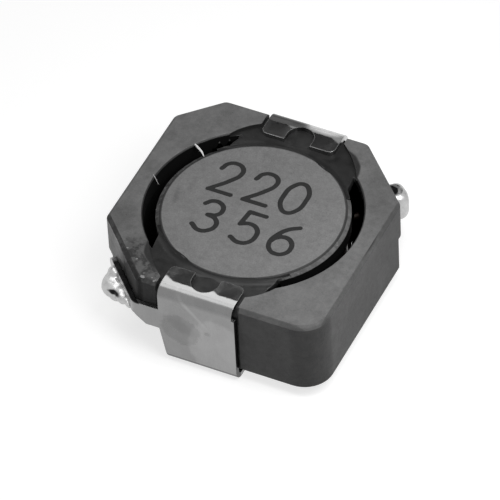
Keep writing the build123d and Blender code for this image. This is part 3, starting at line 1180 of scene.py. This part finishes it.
@dataclass(frozen=True)
class SolderJoint:
    """Solder that holds a wire end on the corner arm."""

    side: Side
    finish: SolderFinish
    lumps: tuple[Lump, ...]
    seed: float
    ceiling: float
    lumpiness: float = 0.03 * MM
    voxel: float = 0.03 * MM

    def build(self) -> bpy.types.Object:
        """Melt the lumps together and put them in the place of their solid.

        Returns:
            The joint.
        """
        turn = Matrix.Rotation(self.side.turn - Side.FRONT.turn, 3, "Z")
        out, level = turn @ OUTWARD, turn @ ALONG
        bm = bmesh.new()
        for lump in self.lumps:
            lump.add(bm, level, out)
        rough = bpy.data.meshes.new("lumps")
        bm.to_mesh(rough)
        bm.free()
        skin = melted(rough, self.voxel)
        bm = bmesh.new()
        bm.from_mesh(skin)
        bpy.data.meshes.remove(skin)
        for _ in range(6):
            bmesh.ops.smooth_vert(bm, verts=bm.verts, factor=0.5,
                                  use_axis_x=True, use_axis_y=True, use_axis_z=True)
        bm.normal_update()
        face = PLAN.arm_face - 0.02 * MM
        for vert in bm.verts:
            swell = ripple(vert.co, 0.35 * MM, self.seed) + 0.4 * ripple(vert.co, 0.15 * MM, self.seed + 4)
            point = vert.co + vert.normal * self.lumpiness * swell
            depth = face - point.dot(out)
            if depth > 0:
                point += out * depth
            point.z = min(point.z, self.ceiling)
            vert.co = point
        piece = add_piece(f"{self.side.value}_solder_joint", to_mesh(bm),
                          self.finish.material())
        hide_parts(f"{self.side.value}_solder")
        return piece


@dataclass(frozen=True)
class FluxDrops:
    """Small dried beads of flux on the ring's top beside the front terminal, in a pale tone that paints
    glints on them.
    """

    finish: ResinFinish
    drops_and_glints: tuple[tuple[float, float, float], ...] = (
        (-3.51, -3.74, 0.040), (-2.34, -4.88, 0.070), (-2.26, -4.90, 0.045), (-2.93, -4.13, 0.045),
        (-1.96, -4.79, 0.040), (-2.35, -4.70, 0.030), (-1.82, -4.92, 0.045), (-1.78, -4.86, 0.03),
    )
    flatness: float = 0.20
    depth: float = 0.004 * MM

    def build(self) -> bpy.types.Object:
        """Model the drops, given by place and radius in millimetres.

        Returns:
            All drops as one piece.
        """
        bm = bmesh.new()
        for x, y, radius in self.drops_and_glints:
            spot = Vector((x * MM, y * MM, PLAN.ring_top - self.depth))
            made = bmesh.ops.create_icosphere(bm, subdivisions=3, radius=radius * MM)["verts"]
            for vert in made:
                swell = 1.0 + 0.55 * ripple(vert.co + spot, 0.07 * MM, 6)
                lumped = vert.co * swell
                vert.co = spot + Vector((lumped.x, lumped.y, lumped.z * self.flatness))
        return add_piece("flux_drops", to_mesh(bm), self.finish.material())


@dataclass(frozen=True)
class Strand:
    """Loose thread of glue drawn across the ring gap."""

    name: str
    points: tuple[tuple[float, float, float], ...]
    radii: tuple[float, ...]
    finish: StrandFinish

    def build(self) -> bpy.types.Object:
        """Model the thread along its points, given in millimetres.

        Returns:
            The thread.
        """
        curve = bpy.data.curves.new(self.name, "CURVE")
        curve.dimensions = "3D"
        curve.bevel_depth = 1.0 * MM
        curve.bevel_resolution = 3
        curve.use_fill_caps = True
        spline = curve.splines.new("BEZIER")
        spline.bezier_points.add(len(self.points) - 1)
        for knot, point, radius in zip(spline.bezier_points, self.points, self.radii):
            knot.co = Vector(point) * MM
            knot.radius = radius
            knot.handle_left_type = knot.handle_right_type = "AUTO"
        return add_piece(self.name, mesh_of(curve), self.finish.material())


def melted(mesh: bpy.types.Mesh, voxel: float) -> bpy.types.Mesh:
    """Merge overlapping bodies into one closed skin.

    Args:
        mesh: The bodies, which are removed.
        voxel: Size of the cells of the skin.

    Returns:
        The skin.
    """
    holder = bpy.data.objects.new("holder", mesh)
    bpy.context.scene.collection.objects.link(holder)
    melt = holder.modifiers.new("melt", "REMESH")
    melt.mode = "VOXEL"
    melt.voxel_size = voxel
    ready = holder.evaluated_get(bpy.context.evaluated_depsgraph_get())
    skin = bpy.data.meshes.new_from_object(ready)
    bpy.data.objects.remove(holder)
    bpy.data.meshes.remove(mesh)
    return skin


def mesh_of(curve: bpy.types.Curve) -> bpy.types.Mesh:
    """Mesh of a curve with its bevel.

    Args:
        curve: The curve, which is removed.

    Returns:
        The mesh.
    """
    holder = bpy.data.objects.new("holder", curve)
    bpy.context.scene.collection.objects.link(holder)
    ready = holder.evaluated_get(bpy.context.evaluated_depsgraph_get())
    mesh = bpy.data.meshes.new_from_object(ready)
    bpy.data.objects.remove(holder)
    bpy.data.curves.remove(curve)
    return mesh


class Digit(Enum):
    """Strokes of the stamped digits, each a smooth line through points of a cell one unit wide."""

    TWO = (((0.06, 1.22), (0.20, 1.54), (0.52, 1.66), (0.84, 1.50), (0.90, 1.18), (0.66, 0.74),
            (0.04, 0.02)), ((0.04, 0.02), (0.98, 0.02)))
    ZERO = (((0.50, 1.66), (0.86, 1.38), (0.95, 0.83), (0.84, 0.27), (0.50, 0.0), (0.14, 0.28),
             (0.05, 0.84), (0.16, 1.38), (0.50, 1.66)),)
    THREE = (((0.08, 1.40), (0.30, 1.62), (0.66, 1.60), (0.86, 1.30), (0.74, 0.99), (0.42, 0.88)),
             ((0.42, 0.88), (0.78, 0.78), (0.95, 0.46), (0.76, 0.10), (0.42, 0.0), (0.06, 0.22)))
    FIVE = (((0.88, 1.64), (0.20, 1.64)), ((0.20, 1.64), (0.12, 0.92)),
            ((0.12, 0.92), (0.46, 1.06), (0.82, 0.92), (0.95, 0.52), (0.80, 0.13), (0.44, 0.0),
             (0.06, 0.16)))
    SIX = (((0.82, 1.60), (0.46, 1.36), (0.18, 0.96), (0.06, 0.48), (0.24, 0.10), (0.54, 0.0),
            (0.84, 0.14), (0.95, 0.48), (0.80, 0.82), (0.50, 0.93), (0.20, 0.78), (0.08, 0.56)),)


@dataclass(frozen=True)
class StampedNumbers:
    """Two rows of plain digits stamped in ink on the disc."""

    finish: InkFinish
    rows: tuple[tuple[Digit, ...], ...] = (
        (Digit.TWO, Digit.TWO, Digit.ZERO),
        (Digit.THREE, Digit.FIVE, Digit.SIX),
    )
    starts: tuple[tuple[float, ...], ...] = ((-2.17, -0.70, 0.66), (-1.95, -0.30, 1.20))
    bases: tuple[float, ...] = (0.42, -1.72)
    stroke: float = 0.205 * MM
    voxel: float = 0.022 * MM
    flattening: float = 0.10

    def build(self) -> bpy.types.Object:
        """Model the strokes, melt them together and lay them flat on the disc.

        Returns:
            Both rows as one piece.
        """
        bm = bmesh.new()
        for digits, starts, base in zip(self.rows, self.starts, self.bases):
            for digit, start in zip(digits, starts):
                for stroke in digit.value:
                    self.add_stroke(bm, stroke, start, base)
        mesh = bpy.data.meshes.new("strokes")
        bm.to_mesh(mesh)
        bm.free()
        mesh = melted(mesh, self.voxel)
        flat = Matrix.Translation((0, 0, PLAN.drum_top)) @ Matrix.Scale(self.flattening, 4, UP)
        mesh.transform(flat)
        return add_piece("stamped_numbers", mesh, self.finish.material())

    def add_stroke(self, bm: bmesh.types.BMesh, stroke: Sequence[Sequence[float]],
                   start: float, base: float) -> None:
        """Add one stroke as a round rod with round ends.

        Args:
            bm: Mesh that takes it.
            stroke: Points in the digit's cell.
            start: Left side of the cell in millimetres.
            base: Its base line.
        """
        curve = bpy.data.curves.new("stroke", "CURVE")
        curve.dimensions = "3D"
        curve.bevel_depth = self.stroke / 2
        curve.bevel_resolution = 4
        curve.use_fill_caps = True
        spline = curve.splines.new("BEZIER")
        closed = stroke[0] == stroke[-1]
        points = stroke[:-1] if closed else stroke
        spline.use_cyclic_u = closed
        spline.bezier_points.add(len(points) - 1)
        ends = []
        for knot, (x, y) in zip(spline.bezier_points, points):
            knot.co = Vector((start + x, base + y, 0)) * MM
            knot.radius = 1.0 + 0.10 * ripple(knot.co, 0.6 * MM, 2)
            knot.handle_left_type = knot.handle_right_type = "AUTO"
            ends.append(knot.co.copy())
        rod = mesh_of(curve)
        bm.from_mesh(rod)
        bpy.data.meshes.remove(rod)
        for end in (ends[0], ends[-1]):
            bmesh.ops.create_icosphere(bm, subdivisions=3, radius=self.stroke / 2 * 1.02,
                                       matrix=Matrix.Translation(end))


@dataclass(frozen=True)
class FerriteRing:
    """The pressed ring with the flux residue on its wired front corner."""

    finish: RingFinish = RingFinish("ring_ferrite", 0.128)
    # The flux's pale tone of 0.22 is a painted highlight, so that each drop reads as a glint.
    residue: FluxDrops = FluxDrops(ResinFinish("flux_residue_painted_glint", 0.22, 0.3, 0.22, 0.5))

    def dress(self) -> None:
        """Give the ring its finish and the drops on it."""
        dress_node("shield_core", self.finish.material())
        self.residue.build()


@dataclass(frozen=True)
class FerriteDrum:
    """The drum with its stamped disc."""

    finish: DrumFinish = DrumFinish("drum_ferrite", 0.160, mottling=0.05, grain=0.42)
    stamp: StampedNumbers = StampedNumbers(InkFinish())

    def dress(self) -> None:
        """Give the drum its finish and its numbers."""
        dress_node("drum_core", self.finish.material())
        self.stamp.build()


@dataclass(frozen=True)
class Winding:
    """The wire on the drum, with its two leads."""

    finish: EnamelFinish = EnamelFinish()

    def dress(self) -> None:
        """Give the wire its finish."""
        dress_node("winding", self.finish.material())


@dataclass(frozen=True)
class TerminalSet:
    """Both terminals with their solder and adhesive."""

    joints: tuple[SolderJoint, ...] = (
        SolderJoint(Side.FRONT, SolderFinish("front_solder_skin", Side.FRONT), (
            Lump(-0.05, 5.72, 1.88, (0.52, 0.50, 0.52)),
            Lump(0.14, 5.63, 2.22, (0.34, 0.28, 0.38)),
            Lump(-0.35, 5.68, 1.86, (0.47, 0.42, 0.42)),
            Lump(-0.70, 5.62, 1.98, (0.50, 0.33, 0.30)),
            Lump(-1.05, 5.58, 1.98, (0.48, 0.14, 0.16)),
        ), 5.0, 2.66 * MM),
        SolderJoint(Side.BACK, SolderFinish("back_solder_skin", Side.BACK, shade_and_reflection_tone=0.02), (
            Lump(0.00, 5.76, 2.03, (0.56, 0.47, 0.66), 3.4),
            Lump(-0.55, 5.62, 2.00, (0.60, 0.24, 0.30)),
            Lump(-0.95, 5.60, 2.00, (0.45, 0.15, 0.17)),
        ), 9.0, 2.66 * MM),
    )
    plating: tuple[TinFinish, ...] = (
        TinFinish("front_tin", Side.FRONT),
        TinFinish("back_tin", Side.BACK, painted_bend_highlight=Oval((-0.75, -5.12), (0.95, 0.34), 0.0, 0.35),
                  painted_highlight_gain=1.9, painted_shade_depth=0.72),
    )
    resin: ResinFinish = ResinFinish("cured_adhesive")

    def dress(self) -> None:
        """Plate the terminals and model what fixes them."""
        for tin in self.plating:
            dress_node(f"{tin.side.value}_terminal", tin.material())
            Adhesive(tin.side, self.resin).build()
        for joint in self.joints:
            joint.build()


@dataclass(frozen=True)
class LooseStrands:
    """Threads of glue left across the gap."""

    finish: StrandFinish = StrandFinish()

    def build(self) -> None:
        """Model the three threads."""
        strands = (
            ("strand_back_left", ((-3.66, 2.38, 3.73), (-3.45, 2.24, 3.74), (-3.18, 2.08, 3.70),
                                  (-3.02, 1.93, 3.66)), (0.025, 0.05, 0.045, 0.012)),
            ("strand_left", ((-4.34, 0.17, 3.78), (-4.20, 0.06, 3.78), (-3.97, -0.12, 3.66)),
             (0.006, 0.010, 0.005)),
            ("strand_right", ((4.15, -0.05, 3.70), (4.19, -0.15, 3.74), (4.24, -0.27, 3.77)),
             (0.002, 0.005, 0.002)),
        )
        for name, points, radii in strands:
            Strand(name, points, radii, self.finish).build()


@dataclass(frozen=True)
class Lamp:
    """Soft box, aimed at the part."""

    name: str
    direction: tuple[float, float, float]
    distance: float
    size: float
    power: float

    def place(self) -> None:
        """Hang the lamp."""
        data = bpy.data.lights.new(self.name, "AREA")
        data.shape = "SQUARE"
        data.size = self.size
        data.energy = self.power
        lamp = bpy.data.objects.new(self.name, data)
        toward = Vector(self.direction).normalized()
        lamp.location = toward * self.distance
        lamp.rotation_mode = "QUATERNION"
        lamp.rotation_quaternion = (-toward).to_track_quat("-Z", "Y")
        bpy.context.scene.collection.objects.link(lamp)


@dataclass(frozen=True)
class Studio:
    """Camera, floor, light and background of the photograph's view."""

    azimuth: float = 27.54
    elevation: float = 45.595
    roll: float = 3.0955
    distance: float = 209.14 * MM
    target: tuple[float, float, float] = (-0.0427 * MM, -0.371 * MM, 1.88 * MM)
    focal_length: float = 392.82
    floor_radius: float = 60.0 * MM
    floor_clear: float = 26.0
    floor_tone: float = 0.42
    floor_glow: float = 0.74
    bounce_tone: float = 0.12
    ambient: float = 0.11
    # Painted shadow: inside these ovals, under the part, the floor is painted dark.
    covered: tuple[Oval, ...] = (
        Oval((0.0, 0.0), (4.325, 4.325), softness=0.029),
        Oval((1.0, 1.4), (3.2, 3.2), softness=0.0625),
    )
    lamps: tuple[Lamp, ...] = (
        Lamp("overhead", (-0.32, 0.08, 0.94), 150 * MM, 106 * MM, 0.066),
        Lamp("key", (0.42, -0.14, 0.90), 28 * MM, 20 * MM, 0.0059),
    )
    flag_direction: tuple[float, float, float] = (-0.30, 0.64, 0.71)
    flag_distance: float = 110 * MM
    flag_size: float = 70 * MM

    def camera(self) -> None:
        """Place the camera where the photograph was taken from."""
        data = bpy.data.cameras.new("camera")
        data.sensor_width = 36.0
        data.lens = self.focal_length
        data.clip_start, data.clip_end = 0.001, 10.0
        camera = bpy.data.objects.new("camera", data)
        turn, lift = radians(self.azimuth), radians(self.elevation)
        back = Vector((sin(turn) * cos(lift), -cos(turn) * cos(lift), sin(lift)))
        camera.location = Vector(self.target) + back * self.distance
        camera.rotation_mode = "QUATERNION"
        tilt = Quaternion((0, 0, 1), -radians(self.roll))
        camera.rotation_quaternion = (-back).to_track_quat("-Z", "Y") @ tilt
        bpy.context.scene.collection.objects.link(camera)
        bpy.context.scene.camera = camera

    def seen(self, surface_tree: bpy.types.NodeTree) -> Field:
        """One for what the camera, metal or glass sees, zero for light on matt surfaces.

        Args:
            surface_tree: Node tree that asks.

        Returns:
            The switch.
        """
        path = surface_tree.nodes.new("ShaderNodeLightPath")
        rays = [Field(surface_tree, path.outputs[name]) for name in (
            "Is Camera Ray", "Is Glossy Ray", "Is Transmission Ray")]
        return rays[0].larger(rays[1]).larger(rays[2])

    def floor(self) -> None:
        """Lay a pale round floor that fades out into the white background, with a painted shadow under the
        part.
        """
        bm = bmesh.new()
        bmesh.ops.create_circle(bm, cap_ends=True, segments=96, radius=self.floor_radius)
        floor = bpy.data.objects.new("floor", to_mesh(bm))
        bpy.context.scene.collection.objects.link(floor)
        surface = Surface("pale_floor")
        tree = surface.tree
        shown = self.seen(tree)
        clouds = surface.noise(6.0, 2.0) - 0.5
        # Painted shadow: under the part the floor's tone and glow go to zero.
        covered = reduce(Field.larger, (surface.mark(surface.x, surface.y, oval)
                                        for oval in self.covered))
        unshadowed_floor = covered.inverted()
        tone = (shown * (self.floor_tone - self.bounce_tone) + self.bounce_tone) * unshadowed_floor
        surface.settle(roughness=1.0, specular=0.0)
        surface.vary(base_color=tone * (clouds * 0.01 + 1.0),
                     emission_strength=shown * unshadowed_floor * self.floor_glow)
        clear = tree.nodes.new("ShaderNodeBsdfTransparent")
        mix = tree.nodes.new("ShaderNodeMixShader")
        fade = surface.radius.step(self.floor_clear, self.floor_radius / MM * 0.95)
        tree.links.new(fade.socket, mix.inputs[0])
        tree.links.new(surface.shader.outputs[0], mix.inputs[1])
        tree.links.new(clear.outputs[0], mix.inputs[2])
        tree.links.new(mix.outputs[0], tree.nodes["Material Output"].inputs["Surface"])
        paint(floor, surface.material)

    def background(self) -> None:
        """Make the world white to the eye and dim as a light."""
        world = bpy.data.worlds.new("background")
        bpy.context.scene.world = world
        world.use_nodes = True
        glow = world.node_tree.nodes["Background"]
        glow.inputs["Color"].default_value = (1.0, 1.0, 1.0, 1.0)
        shown = self.seen(world.node_tree)
        strength = shown * (1.0 - self.ambient) + self.ambient
        world.node_tree.links.new(strength.socket, glow.inputs["Strength"])

    def flag(self) -> None:
        """Hang a dark card behind the part, which the flat tabs mirror."""
        bm = bmesh.new()
        toward = Vector(self.flag_direction).normalized()
        turn = toward.to_track_quat("Z", "Y").to_matrix().to_4x4()
        bmesh.ops.create_grid(bm, x_segments=1, y_segments=1, size=self.flag_size / 2,
                              matrix=Matrix.Translation(toward * self.flag_distance) @ turn)
        flag = bpy.data.objects.new("dark_card", to_mesh(bm))
        bpy.context.scene.collection.objects.link(flag)
        flag.visible_camera = False
        surface = Surface("dark_card")
        cloth = surface.noise(4.0, 2.0).step(0.3, 0.7, 0.30, 0.40)
        surface.settle(roughness=1.0, specular=0.0)
        surface.vary(base_color=cloth)
        paint(flag, surface.material)

    def build(self) -> None:
        """Set up everything round the part."""
        self.camera()
        self.floor()
        self.background()
        self.flag()
        for lamp in self.lamps:
            lamp.place()
        bpy.context.scene.view_settings.view_transform = "Standard"


def main() -> None:
    """Build and dress the part, sub-assembly by sub-assembly."""
    logging.basicConfig(level=logging.INFO, format="%(name)s: %(message)s")
    Studio().build()
    FerriteRing().dress()
    FerriteDrum().dress()
    Winding().dress()
    TerminalSet().dress()
    LooseStrands().build()


if __name__ == "__main__":
    main()
